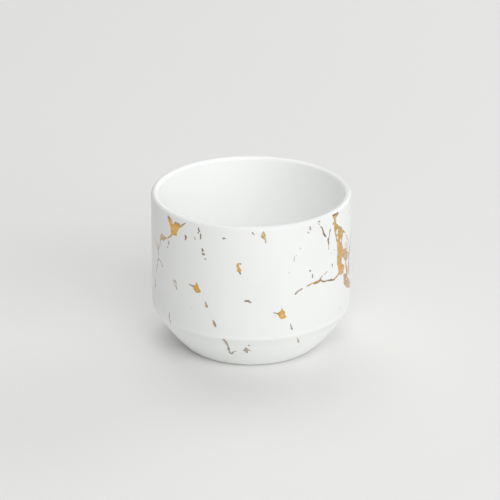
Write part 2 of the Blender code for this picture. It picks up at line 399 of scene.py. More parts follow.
class MugColours(bpy.types.PropertyGroup):
    """Colours of the finishes."""

    # Painted light: the inner glaze is set near pure white and the outer a little darker, two whites of
    # one glaze that balance light and shade between inside and outside
    outer_glaze: FloatVectorProperty(
        name="Outer glaze", description="Satin white of the outside",
        default=(0.872, 0.886, 0.877), subtype="COLOR")
    inner_glaze: FloatVectorProperty(
        name="Inner glaze", description="Glossier white of the inside",
        default=(0.985, 0.995, 0.985), subtype="COLOR")
    bright_gold: FloatVectorProperty(
        name="Bright gold", description="Gold where it lies thickest",
        default=(0.90, 0.48, 0.11), subtype="COLOR")
    warm_gold: FloatVectorProperty(
        name="Warm gold", description="Most of the print", default=(0.80, 0.41, 0.085), subtype="COLOR")
    olive_gold: FloatVectorProperty(
        name="Olive gold", description="Yellower gold between the bright parts",
        default=(0.64, 0.42, 0.10), subtype="COLOR")
    tan: FloatVectorProperty(
        name="Tan", description="Gold worn thin", default=(0.465, 0.28, 0.13), subtype="COLOR")
    bronze: FloatVectorProperty(
        name="Bronze", description="Dark marks and the edges of the print",
        default=(0.18, 0.108, 0.06), subtype="COLOR")
    biscuit: FloatVectorProperty(
        name="Biscuit", description="Bare fired clay of the foot ring",
        default=(0.74, 0.70, 0.63), subtype="COLOR")
    # Painted light: how much lighter the outer glaze is painted towards the foot, to brighten the shaded
    # taper
    painted_foot_light: FloatProperty(
        name="Foot glaze", description="How much lighter the outer glaze is towards the foot",
        default=1.1)
    foot_height: FloatProperty(
        name="Foot height", description="Height from which it gets lighter",
        default=20.0 * MM, unit="LENGTH")
    outer_roughness: FloatProperty(
        name="Outer roughness", description="Satin of the outer glaze", default=0.36, subtype="FACTOR")
    inner_roughness: FloatProperty(
        name="Inner roughness", description="Gloss of the inner glaze", default=0.2, subtype="FACTOR")
    gold_roughness: FloatProperty(
        name="Gold roughness", description="Soft shine of the gold", default=0.38, subtype="FACTOR")


class MugStudio(bpy.types.PropertyGroup):
    """Floor, light and camera."""

    floor_colour: FloatVectorProperty(
        name="Floor", description="Pale floor", default=(0.84, 0.84, 0.826), subtype="COLOR")
    floor_radius: FloatProperty(
        name="Floor radius", description="How far the floor reaches", default=8.0, unit="LENGTH")
    surround: FloatProperty(name="Surround", description="Light from all round", default=0.4)
    front_lamp: FloatProperty(
        name="Front lamp", description="Large lamp at the front", default=8.2, unit="POWER")
    side_lamp: FloatProperty(
        name="Side lamp", description="Low lamp at the front right", default=7.2, unit="POWER")
    rim_lamp: FloatProperty(
        name="Rim lamp", description="Low lamp behind on the right", default=5.6, unit="POWER")
    back_lamp: FloatProperty(
        name="Back lamp", description="High lamp behind", default=6.0, unit="POWER")
    lamp_size: FloatProperty(name="Lamp size", description="Side of a lamp", default=1.0, unit="LENGTH")
    lamp_distance: FloatProperty(
        name="Lamp distance", description="From the mug to a lamp", default=1.6, unit="LENGTH")
    camera_distance: FloatProperty(
        name="Camera distance", description="From the middle of the mug to the lens",
        default=1.1, unit="LENGTH")
    camera_tilt: FloatProperty(
        name="Camera tilt", description="How far the camera looks down",
        default=math.radians(23.03), subtype="ANGLE")
    aim_aside: FloatProperty(
        name="Aim aside", description="Sideways place that the camera looks at",
        default=-0.47 * MM, unit="LENGTH")
    aim_height: FloatProperty(
        name="Aim height", description="Height that the camera looks at",
        default=40.4 * MM, unit="LENGTH")
    lens: FloatProperty(name="Lens", description="Focal length in millimetres", default=186.75)


def arc(centre, radius, start, end, chord_error):
    """Points on a circle from one angle to another, both ends included."""
    step = 2 * math.acos(1 - chord_error / radius)
    count = max(2, math.ceil(abs(end - start) / step))
    angles = [start + (end - start) * i / count for i in range(count + 1)]
    return [centre + radius * Vector((math.cos(a), math.sin(a))) for a in angles]


def rounded(before, corner, after, radius, chord_error):
    """The arc that rounds one corner of the profile."""
    back = (before - corner).normalized()
    on = (after - corner).normalized()
    half = back.angle(on) / 2
    centre = corner + (back + on).normalized() * radius / math.sin(half)
    first = corner + back * radius / math.tan(half) - centre
    last = corner + on * radius / math.tan(half) - centre
    start = math.atan2(first.y, first.x)
    turn = math.atan2(first.x * last.y - first.y * last.x, first.dot(last))
    return arc(centre, radius, start, start + turn, chord_error)


def meeting(point, direction, other, other_direction):
    """Where two lines of the profile cross."""
    gap = other - point
    cross = direction.x * other_direction.y - direction.y * other_direction.x
    along = (gap.x * other_direction.y - gap.y * other_direction.x) / cross
    return point + direction * along


def bellied_taper(sizes, shoulder, foot, chord_error):
    """From the foot ring up to the wall: a shallow arc, blended into the foot edge and the shoulder."""
    half_chord = (shoulder - foot).length / 2
    radius = (half_chord**2 + sizes.belly**2) / (2 * sizes.belly)
    along = (shoulder - foot).normalized()
    inwards = Vector((-along.y, along.x))
    centre = (shoulder + foot) / 2 + inwards * (radius - sizes.belly)

    foot_reach = math.sqrt((radius - sizes.foot_edge) ** 2 - (sizes.foot_edge - centre.y) ** 2)
    foot_centre = Vector((centre.x + foot_reach, sizes.foot_edge))
    bend_across = shoulder.x - sizes.shoulder_bend - centre.x
    bend_drop = math.sqrt((radius - sizes.shoulder_bend) ** 2 - bend_across**2)
    bend_centre = Vector((shoulder.x - sizes.shoulder_bend, centre.y - bend_drop))

    to_foot = foot_centre - centre
    to_bend = bend_centre - centre
    foot_angle = math.atan2(to_foot.y, to_foot.x)
    bend_angle = math.atan2(to_bend.y, to_bend.x)
    points = arc(foot_centre, sizes.foot_edge, -math.pi / 2, foot_angle, chord_error)
    points += arc(centre, radius, foot_angle, bend_angle, chord_error)[1:-1]
    points += arc(bend_centre, sizes.shoulder_bend, bend_angle, 0.0, chord_error)
    return points


def mug_profile(sizes, chord_error):
    """Radius and height along the underside, outside and inside. Each starts where the last ends."""
    up = Vector((0.0, 1.0))
    level = Vector((1.0, 0.0))
    shoulder = Vector((sizes.wall_radius, sizes.shoulder_height))
    foot = Vector((sizes.foot_radius, 0.0))
    lip_centre = Vector((sizes.wall_radius - sizes.wall / 2, sizes.height - sizes.wall / 2))
    outside = bellied_taper(sizes, shoulder, foot, chord_error)
    outside += arc(lip_centre, sizes.wall / 2, 0.0, math.pi / 2, chord_error)

    taper = (shoulder - foot).normalized()
    inner_taper = shoulder + Vector((-taper.y, taper.x)) * sizes.taper_wall
    inner_wall = Vector((sizes.wall_radius - sizes.wall, sizes.height))
    inner_floor = Vector((0.0, sizes.recess_depth + sizes.floor))
    inner_shoulder = meeting(inner_taper, taper, inner_wall, up)
    inner_corner = meeting(inner_taper, taper, inner_floor, level)
    inside = arc(lip_centre, sizes.wall / 2, math.pi / 2, math.pi, chord_error)
    inside += rounded(inner_wall, inner_shoulder, inner_corner, sizes.inner_shoulder_bend, chord_error)
    inside += rounded(inner_shoulder, inner_corner, inner_floor, sizes.inner_floor_bend, chord_error)
    inside.append(inner_floor)

    ring_outside = outside[0]
    ring_inside = ring_outside - level * sizes.foot_ring
    recess_corner = ring_inside + Vector((-sizes.recess_lean, sizes.recess_depth))
    recess_middle = Vector((0.0, sizes.recess_depth))
    underside = [recess_middle]
    underside += rounded(recess_middle, recess_corner, ring_inside, sizes.recess_edge, chord_error)
    underside += rounded(recess_corner, ring_inside, ring_outside, sizes.recess_edge, chord_error)
    underside.append(ring_outside)
    return underside, outside, inside


def with_rows(line, longest):
    """The same line with points added wherever two of them lie too far apart."""
    points = [line[0]]
    for start, end in zip(line, line[1:]):
        count = max(1, math.ceil((end - start).length / longest - 1e-6))
        points += [start.lerp(end, i / count) for i in range(1, count + 1)]
    return points


def deselect_all():
    if bpy.context.mode != "OBJECT":
        bpy.ops.object.mode_set(mode="OBJECT")
    bpy.ops.object.select_all(action="DESELECT")


def pick(obj):
    deselect_all()
    obj.select_set(True)
    bpy.context.view_layer.objects.active = obj


def spin_line(name, line, steps):
    """One vertex, extruded along the line and spun about the upright axis."""
    deselect_all()
    bpy.ops.mesh.primitive_plane_add(size=MM)
    obj = bpy.context.object
    obj.name = name
    obj.data.name = name
    bpy.ops.object.mode_set(mode="EDIT")
    bpy.ops.mesh.select_all(action="SELECT")
    bpy.ops.mesh.merge(type="CENTER")
    bpy.ops.mesh.select_all(action="SELECT")
    bpy.ops.transform.translate(value=(line[0].x, 0.0, line[0].y))
    for start, end in zip(line, line[1:]):
        step = end - start
        bpy.ops.mesh.extrude_region_move(TRANSFORM_OT_translate={"value": (step.x, 0.0, step.y)})
    bpy.ops.mesh.select_all(action="SELECT")
    bpy.ops.mesh.spin(steps=steps, angle=math.tau, center=(0, 0, 0), axis=(0, 0, 1), use_auto_merge=True)
    bpy.ops.mesh.select_all(action="SELECT")
    bpy.ops.mesh.remove_doubles(threshold=WELD)
    bpy.ops.mesh.normals_make_consistent(inside=False)
    bpy.ops.object.mode_set(mode="OBJECT")
    return obj


class WallSheet:
    """The outside of the mug laid flat, in millimetres: x goes round the wall, y goes up the profile."""

    def __init__(self, sizes):
        self.line = with_rows(mug_profile(sizes, CHORD_ERROR)[1], sizes.row_height)
        self.radius = sizes.wall_radius / MM
        self.along = [0.0]
        for start, end in zip(self.line, self.line[1:]):
            self.along.append(self.along[-1] + (end - start).length / MM)

    def between(self, value, keys):
        for i in range(1, len(keys)):
            if value <= keys[i] or i == len(keys) - 1:
                return i, (value - keys[i - 1]) / (keys[i] - keys[i - 1])

    def flat(self, angle, height):
        """From an angle in degrees and a height in millimetres to the sheet."""
        i, part = self.between(height * MM, [p.y for p in self.line])
        along = self.along[i - 1] + (self.along[i] - self.along[i - 1]) * part
        return Vector((math.radians(angle) * self.radius, along))

    def round(self, point):
        """From the sheet back to the mug."""
        i, part = self.between(point.y, self.along)
        place = self.line[i - 1].lerp(self.line[i], part)
        turn = point.x / self.radius
        return Vector((place.x * math.sin(turn), -place.x * math.cos(turn), place.y))


class Shape:
    """One closed outline on the sheet, with how bright its gold is and how well it covers."""

    def __init__(self, outline, brightness, cover):
        self.outline = outline
        self.brightness = brightness
        self.cover = cover
        self.low = Vector((min(p.x for p in outline), min(p.y for p in outline)))
        self.high = Vector((max(p.x for p in outline), max(p.y for p in outline)))

    def holds(self, point):
        """Whether the outline winds round the point."""
        if not (self.low.x <= point.x <= self.high.x and self.low.y <= point.y <= self.high.y):
            return False
        turns = 0
        for a, b in zip(self.outline, self.outline[1:] + self.outline[:1]):
            if (a.y <= point.y) == (b.y <= point.y):
                continue
            side = (b.x - a.x) * (point.y - a.y) - (point.x - a.x) * (b.y - a.y)
            if a.y <= point.y and side > 0:
                turns += 1
            elif b.y <= point.y and side < 0:
                turns -= 1
        return turns != 0


def wandering(point, raggedness, grain):
    """Moves a point of an edge a little, always the same way at the same place."""
    x, y = point / grain
    coarse = Vector([noise.noise((x, y, level)) for level in WANDER_LEVELS])
    fine = Vector([noise.noise((x * 2.6, y * 2.6, level)) for level in FINE_WANDER_LEVELS])
    return point + (coarse + fine * 0.45) * raggedness


def curve_through(joints, step):
    """Points of a smooth line through joints of x, y and width."""
    if len(joints) < 3:
        ends = [joints[0], *joints, joints[-1]]
    else:
        ends = [joints[0] * 2 - joints[1], *joints, joints[-1] * 2 - joints[-2]]
    points = []
    for a, b, c, d in zip(ends, ends[1:], ends[2:], ends[3:]):
        bend = 2 * a - 5 * b + 4 * c - d
        curl = 3 * b - a - 3 * c + d
        count = max(2, math.ceil((c - b).xy.length / step))
        for i in range(count):
            t = i / count
            points.append(0.5 * (2 * b + (c - a) * t + bend * t**2 + curl * t**3))
    points.append(joints[-1])
    return points


def line_outline(joints, how):
    """The outline of a drawn line that swells and thins along its length."""
    step = how.edge_step / MM
    if len(joints) == 1:
        middle = joints[0]
        return [
            middle.xy + Vector((math.cos(a), math.sin(a))) * middle.z / 2
            for a in (math.tau * i / 8 for i in range(8))
        ]
    points = curve_through(joints, step)
    left, right = [], []
    for i, point in enumerate(points):
        ahead = points[min(i + 1, len(points) - 1)] - points[max(i - 1, 0)]
        side = Vector((-ahead.y, ahead.x)).normalized()
        swell = 1 + how.swelling * noise.noise((point.x * 0.8, point.y * 0.8, SWELL_LEVEL)) * 2
        half = max(point.z, 0.15) / 2 * swell
        left.append(point.xy + side * half)
        right.append(point.xy - side * half)
    start = points[0].xy + (points[0] - points[1]).xy.normalized() * points[0].z * 0.45
    end = points[-1].xy + (points[-1] - points[-2]).xy.normalized() * points[-1].z * 0.45
    return [start, *right, end, *reversed(left)]


def patch_outline(corners, step):
    """The outline of a patch with its corners slightly softened."""
    outline = []
    for before, corner, after in zip([corners[-1], *corners], corners, [*corners[1:], corners[0]]):
        outline.append(corner.lerp(before, 0.22))
        outline.append(corner.lerp(after, 0.22))
    return with_rows(outline + outline[:1], step)[:-1]


def print_shapes(sheet, how):
    """All shapes of gold, and the bare patches that are left out of them."""
    step = how.edge_step / MM
    ragged = how.raggedness / MM
    grain = how.grain / MM

    def patch(corners):
        return patch_outline([sheet.flat(*corner) for corner in corners], step)

    def line(joints):
        return line_outline([Vector((*sheet.flat(*place), width)) for *place, width in joints], how)

    def shape(outline, brightness, cover, rough):
        return Shape([wandering(p, ragged * rough, grain) for p in outline], brightness, cover)

    # Shapes, how they are drawn, how bright their gold is, how well it covers the glaze and how
    # ragged its edge is. Later groups lie over earlier ones
    groups = (
        (FAINT_BLOOMS, patch, 0.5, 0.3, 2.0),
        (PALE_BLOOMS, patch, 0.46, 0.78, 2.8),
        (PALE_VEINS, line, 0.24, 0.5, 1.8),
        (SIDE_VEINS, line, 0.4, 0.78, 1.3),
        (BACK_VEINS, line, 0.62, 0.85, 1.0),
        (BIG_VEIN, patch, 0.66, 0.88, 1.8),
        (BLOOMS, patch, 0.9, 1.0, 1.2),
        (FRONT_LINES, line, 0.55, 0.94, 1.0),
        (BRIGHT_LINES, line, 0.62, 0.95, 1.4),
        (OLIVE_PARTS, patch, 0.52, 0.86, 2.4),
        (GLOWING_PARTS, patch, 0.95, 1.0, 1.8),
        (GREY_LINES, line, 0.26, 0.6, 1.0),
        (FAINT_MARKS, line, 0.12, 0.42, 1.0),
        (ROSE_MARKS, line, 0.3, 0.5, 1.0),
        (DULL_LINES, line, 0.36, 0.94, 1.0),
        (TAN_MARKS, line, 0.42, 0.74, 1.0),
        (AMBER_MARKS, line, 0.85, 1.0, 1.0),
        (SOFT_MARKS, line, 0.24, 0.7, 1.0),
        (BROWN_MARKS, line, 0.2, 0.95, 1.0),
        (BACK_MARKS, line, 0.3, 0.9, 1.0),
        (EGG, line, 0.5, 0.8, 1.0),
        (LIP_MARK, line, 0.0, 1.0, 0.3),
    )
    gold = [shape(drawn(joints), *look) for shapes, drawn, *look in groups for joints in shapes]
    bare = [shape(patch(corners), 0.0, 0.0, 1.0) for corners in BARE_PATCHES]
    return gold, bare


def cut_sheet(sheet, gold, bare, sizes, how):
    """The sheet as triangles that follow every edge of the print, with the shape on each."""
    step = how.edge_step / MM
    # How near an edge a point of the wall and a point inside the gold may lie, and how far apart
    # the points inside the gold are
    wall_gap = step * 0.6
    gold_gap = step * 0.9
    gold_step = step * 1.7
    spots = []
    edges = []
    for shape in gold + bare:
        first = len(spots)
        spots += shape.outline
        count = len(shape.outline)
        edges += [(first + i, first + (i + 1) % count) for i in range(count)]
    near = kdtree.KDTree(len(spots))
    for i, spot in enumerate(spots):
        near.insert(Vector((*spot, 0.0)), i)
    near.balance()

    def clear_of_edges(point, gap):
        return near.find(Vector((*point, 0.0)))[2] > gap

    # Rows and columns of the wall, left out where they would make slivers along an edge of gold
    columns = sizes.steps_round
    across = [math.tau * sheet.radius * (i / columns - 0.5) for i in range(columns + 1)]
    last_row = len(sheet.along) - 1
    for row, along in enumerate(sheet.along):
        for column, place in enumerate(across):
            point = Vector((place, along))
            border = row in (0, last_row) or column in (0, columns)
            if border or clear_of_edges(point, wall_gap):
                spots.append(point)
    # Points inside the gold, so that its colour can deepen towards the edge
    for shape in gold:
        rows = range(math.floor(shape.low.y / gold_step), math.ceil(shape.high.y / gold_step) + 1)
        places = range(math.floor(shape.low.x / gold_step), math.ceil(shape.high.x / gold_step) + 1)
        for row in rows:
            for place in places:
                point = Vector(((place + 0.5 * (row % 2)) * gold_step, row * gold_step))
                if shape.holds(point) and clear_of_edges(point, gold_gap):
                    spots.append(point)
    spots, _, faces, _, _, _ = delaunay_2d_cdt(spots, edges, [], 0, 1e-5, False)

    owners = []
    for face in faces:
        middle = (spots[face[0]] + spots[face[1]] + spots[face[2]]) / 3
        holders = [layer for layer, shape in enumerate(gold) if shape.holds(middle)]
        if holders and any(shape.holds(middle) for shape in bare):
            holders = []
        owners.append(holders[-1] if holders else None)
    return spots, faces, owners


def gold_depth(spots, faces, owners, rim):
    """How far inside the gold each point lies: nought at an edge, one where it lies thick."""
    gilded = set()
    bare = set()
    for face, owner in zip(faces, owners):
        (bare if owner is None else gilded).update(face)
    border = gilded & bare
    near = kdtree.KDTree(len(border))
    for i in border:
        near.insert(Vector((*spots[i], 0.0)), i)
    near.balance()
    depth = [0.0] * len(spots)
    for i in gilded - border:
        depth[i] = min(1.0, near.find(Vector((*spots[i], 0.0)))[2] / rim)
    return depth


def smooth_by_profile(mug, sizes):
    """Gives each point the direction of the turned surface, so that no cut shows in the gloss."""
    line = [point for part in mug_profile(sizes, FINE_CHORD_ERROR) for point in part]
    line = [p for i, p in enumerate(line) if i == 0 or (p - line[i - 1]).length > SHORTEST_STEP]
    fine = []
    for a, b in zip(line, line[1:]):
        along = (b - a).normalized()
        count = max(1, math.ceil((b - a).length / FINE_STEP))
        fine += [(a.lerp(b, (i + 0.5) / count), along) for i in range(count)]
    near = kdtree.KDTree(len(fine))
    for i, (point, _) in enumerate(fine):
        near.insert(Vector((*point, 0.0)), i)
    near.balance()
    normals = []
    for vertex in mug.data.vertices:
        flat = vertex.co.xy.length
        if flat < NEAR:
            normals.append(Vector((0.0, 0.0, 1.0 if vertex.co.z > sizes.recess_depth * 1.5 else -1.0)))
            continue
        found = near.find_n(Vector((flat, vertex.co.z, 0.0)), 2)
        weights = [1 / (distance + 1e-7) for _, _, distance in found]
        along = sum((fine[i][1] * w for (_, i, _), w in zip(found, weights)), Vector((0.0, 0.0)))
        out = Vector((along.y, -along.x)).normalized()
        round_way = vertex.co.xy / flat
        normals.append(Vector((round_way.x * out.x, round_way.y * out.x, out.y)))
    mug.data.shade_smooth()
    mug.data.normals_split_custom_set_from_vertices(normals)


def new_group(name, inputs, outputs):
    group = bpy.data.node_groups.new(name, "ShaderNodeTree")
    for label, kind, default in inputs:
        socket = group.interface.new_socket(label, in_out="INPUT", socket_type=kind)
        if default is not None:
            socket.default_value = default
    for label, kind in outputs:
        group.interface.new_socket(label, in_out="OUTPUT", socket_type=kind)
    return group


def add(tree, kind, place, **settings):
    """A node at a place in the tree. Settings are its own, or by name its inputs."""
    node = tree.nodes.new(kind)
    node.location = place
    for label, value in settings.items():
        if hasattr(node, label):
            setattr(node, label, value)
        else:
            node.inputs[label.replace("_", " ")].default_value = value
    return node


def join(tree, source, output, target, socket):
    """A link between two nodes, by the names or numbers of their sockets."""
    tree.links.new(source.outputs[output], target.inputs[socket])


def glaze_mottle():
    """Slow unevenness of a fired glaze: colour, gloss and the faintest orange peel, and painted light
    that makes it lighter towards the foot.
    """
    group = new_group(
        "Glaze mottle",
        (
            ("Vector", "NodeSocketVector", None),
            ("Colour", "NodeSocketColor", (0.86, 0.87, 0.86, 1.0)),
            ("Shade", "NodeSocketColor", (0.80, 0.80, 0.78, 1.0)),
            ("Foot", "NodeSocketColor", (0.86, 0.87, 0.86, 1.0)),
            ("Foot Height", "NodeSocketFloat", 0.02),
            ("Amount", "NodeSocketFloat", 0.3),
            ("Roughness", "NodeSocketFloat", 0.35),
            ("Spread", "NodeSocketFloat", 0.05),
        ),
        (("Colour", "NodeSocketColor"), ("Roughness", "NodeSocketFloat"), ("Height", "NodeSocketFloat")),
    )
    inlet = add(group, "NodeGroupInput", (-800, 0))
    outlet = add(group, "NodeGroupOutput", (700, 0))
    clouds = add(group, "ShaderNodeTexNoise", (-550, 250), Scale=38.0, Detail=3.0, Roughness=0.5)
    speck = add(group, "ShaderNodeTexNoise", (-550, 0), Scale=1500.0, Detail=2.0, Roughness=0.6)
    peel = add(group, "ShaderNodeTexNoise", (-550, -250), Scale=420.0, Detail=2.0, Roughness=0.45)
    for texture in (clouds, speck, peel):
        join(group, inlet, "Vector", texture, "Vector")
    both = add(group, "ShaderNodeMath", (-320, 200), operation="MULTIPLY_ADD")
    both.inputs[1].default_value = 0.35
    join(group, speck, "Fac", both, 0)
    join(group, clouds, "Fac", both, 2)
    shade = add(group, "ShaderNodeMapRange", (-120, 200), From_Min=0.5, From_Max=0.95)
    join(group, both, 0, shade, "Value")
    amount = add(group, "ShaderNodeMath", (80, 200), operation="MULTIPLY")
    join(group, shade, "Result", amount, 0)
    join(group, inlet, "Amount", amount, 1)
    colour = add(group, "ShaderNodeMix", (300, 250), data_type="RGBA")
    join(group, amount, 0, colour, "Factor")
    join(group, inlet, "Colour", colour, "A")
    join(group, inlet, "Shade", colour, "B")

    # Painted light: the colour is made lighter towards the foot, standing in for light on the shaded
    # taper
    spot = add(group, "ShaderNodeSeparateXYZ", (-320, 520))
    join(group, inlet, "Vector", spot, 0)
    low = add(group, "ShaderNodeMath", (-120, 520), operation="DIVIDE")
    join(group, spot, "Z", low, 0)
    join(group, inlet, "Foot Height", low, 1)
    foot_light_factor = add(group, "ShaderNodeMapRange", (80, 520), From_Min=1.0, From_Max=0.62)
    join(group, low, 0, foot_light_factor, "Value")
    foot = add(group, "ShaderNodeMix", (500, 350), data_type="RGBA")
    join(group, foot_light_factor, "Result", foot, "Factor")
    join(group, colour, "Result", foot, "A")
    join(group, inlet, "Foot", foot, "B")
    join(group, foot, "Result", outlet, "Colour")
    spread = add(group, "ShaderNodeMath", (80, 0), operation="MULTIPLY_ADD")
    join(group, shade, "Result", spread, 0)
    join(group, inlet, "Spread", spread, 1)
    join(group, inlet, "Roughness", spread, 2)
    join(group, spread, 0, outlet, "Roughness")
    join(group, peel, "Fac", outlet, "Height")
    return group


def new_material(name):
    material = bpy.data.materials.new(name)
    material.use_nodes = True
    tree = material.node_tree
    shader = tree.nodes["Principled BSDF"]
    shader.location = (500, 0)
    tree.nodes["Material Output"].location = (800, 0)
    return material, tree, shader


def place_mottle(tree, mottle, colour, roughness, spread, shade=0.955, amount=0.7, foot=(1.0, 1.0)):
    """The mottle on object coordinates. Foot is how much painted light lightens it towards the foot, and
    from what height.
    """
    where = add(tree, "ShaderNodeTexCoord", (-900, 0))
    node = add(tree, "ShaderNodeGroup", (-600, 0), node_tree=mottle)
    join(tree, where, "Object", node, "Vector")
    node.inputs["Colour"].default_value = (*colour, 1.0)
    node.inputs["Shade"].default_value = (*scaled(colour, shade), 1.0)
    node.inputs["Amount"].default_value = amount
    node.inputs["Foot"].default_value = (*scaled(colour, foot[0]), 1.0)
    node.inputs["Foot Height"].default_value = foot[1]
    node.inputs["Roughness"].default_value = roughness
    node.inputs["Spread"].default_value = spread
    return where, node


def place_bump(tree, shader, height, strength, distance):
    bump = add(tree, "ShaderNodeBump", (250, -300), Strength=strength, Distance=distance)
    tree.links.new(height, bump.inputs["Height"])
    join(tree, bump, "Normal", shader, "Normal")


def scaled(colour, by):
    return tuple(channel * by for channel in colour)


def glaze_material(name, mottle, colour, roughness, spread, foot=(1.0, 1.0)):
    material, tree, shader = new_material(name)
    _, node = place_mottle(tree, mottle, colour, roughness, spread, foot=foot)
    join(tree, node, "Colour", shader, "Base Color")
    join(tree, node, "Roughness", shader, "Roughness")
    place_bump(tree, shader, node.outputs["Height"], 0.12, 0.02 * MM)
    shader.inputs["IOR"].default_value = 1.5
    return material


def gold_material(mottle, colours):
    """Fired gold: bright where it lies thick, bronze at its edges, in places worn to the glaze."""
    material, tree, shader = new_material("gold_print")
    # The glaze under the gold also carries the painted light towards the foot
    foot = (colours.painted_foot_light, colours.foot_height)
    base = (colours.outer_glaze, colours.outer_roughness)
    where, glaze = place_mottle(tree, mottle, *base, 0.05, foot=foot)
    bright = add(tree, "ShaderNodeAttribute", (-900, 500), attribute_name="gold_brightness")
    depth = add(tree, "ShaderNodeAttribute", (-900, 300), attribute_name="gold_depth")
    cover = add(tree, "ShaderNodeAttribute", (-900, -300), attribute_name="gold_cover")
    clouds = add(tree, "ShaderNodeTexNoise", (-600, 600), Scale=260.0, Detail=4.0, Roughness=0.62)
    grain = add(tree, "ShaderNodeTexNoise", (-600, -350), Scale=1700.0, Detail=3.0, Roughness=0.65)
    wear = add(tree, "ShaderNodeTexNoise", (-600, -600), Scale=900.0, Detail=3.0, Roughness=0.6)
    for texture in (clouds, grain, wear):
        join(tree, where, "Object", texture, "Vector")

    lift = add(tree, "ShaderNodeMapRange", (-600, 350), To_Min=0.6, To_Max=1.0)
    join(tree, depth, "Fac", lift, "Value")
    thick = add(tree, "ShaderNodeMath", (-400, 450), operation="MULTIPLY")
    join(tree, bright, "Fac", thick, 0)
    join(tree, lift, "Result", thick, 1)
    sway = add(tree, "ShaderNodeMapRange", (-400, 650), **MIDDLE, To_Min=-0.16, To_Max=0.16)
    join(tree, clouds, "Fac", sway, "Value")
    tone = add(tree, "ShaderNodeMath", (-200, 500), operation="ADD", use_clamp=True)
    join(tree, thick, 0, tone, 0)
    join(tree, sway, "Result", tone, 1)
    ramp = add(tree, "ShaderNodeValToRGB", (0, 500))
    stops = ramp.color_ramp.elements
    stops[0].position = 0.06
    stops[0].color = (*colours.bronze, 1.0)
    stops[1].position = 1.0
    stops[1].color = (*colours.bright_gold, 1.0)
    for place, colour in ((0.3, colours.tan), (0.5, colours.olive_gold), (0.72, colours.warm_gold)):
        stop = stops.new(place)
        stop.color = (*colour, 1.0)
    join(tree, tone, 0, ramp, "Fac")

    worn = add(tree, "ShaderNodeMapRange", (-400, -350), **MIDDLE, To_Min=-0.3, To_Max=0.3)
    join(tree, wear, "Fac", worn, "Value")
    covered = add(tree, "ShaderNodeMath", (-200, -350), operation="ADD", use_clamp=True)
    join(tree, cover, "Fac", covered, 0)
    join(tree, worn, "Result", covered, 1)
    colour = add(tree, "ShaderNodeMix", (280, 300), data_type="RGBA")
    join(tree, covered, 0, colour, "Factor")
    join(tree, glaze, "Colour", colour, "A")
    join(tree, ramp, "Color", colour, "B")
    join(tree, colour, "Result", shader, "Base Color")
    metal = add(tree, "ShaderNodeMath", (0, -350), operation="MULTIPLY")
    metal.inputs[1].default_value = 0.85
    join(tree, covered, 0, metal, 0)
    join(tree, metal, 0, shader, "Metallic")
    rough = colours.gold_roughness
    shine = add(tree, "ShaderNodeMapRange", (0, -100), **MIDDLE, To_Min=rough - 0.06, To_Max=rough + 0.08)
    join(tree, grain, "Fac", shine, "Value")
    join(tree, shine, "Result", shader, "Roughness")
    place_bump(tree, shader, clouds.outputs["Fac"], 0.15, 0.02 * MM)
    return material


def biscuit_material(mottle, colour):
    """Bare clay: matt, grainy and a little warmer than the glaze."""
    material, tree, shader = new_material("biscuit")
    _, node = place_mottle(tree, mottle, colour, 0.82, 0.1, shade=0.86, amount=1.0)
    join(tree, node, "Colour", shader, "Base Color")
    join(tree, node, "Roughness", shader, "Roughness")
    place_bump(tree, shader, node.outputs["Height"], 0.5, 0.05 * MM)
    return material


class MUG_OT_turn_body(bpy.types.Operator):
    """Spin the plain mug from its profile"""

    bl_idname = "mug.turn_body"
    bl_label = "Turn body"

    def execute(self, context):
        sizes = context.scene.mug_sizes
        underside, outside, inside = mug_profile(sizes, CHORD_ERROR)
        line = underside[:-1] + with_rows(outside, sizes.row_height) + inside[1:]
        spin_line(MUG, line, sizes.steps_round)
        return {"FINISHED"}


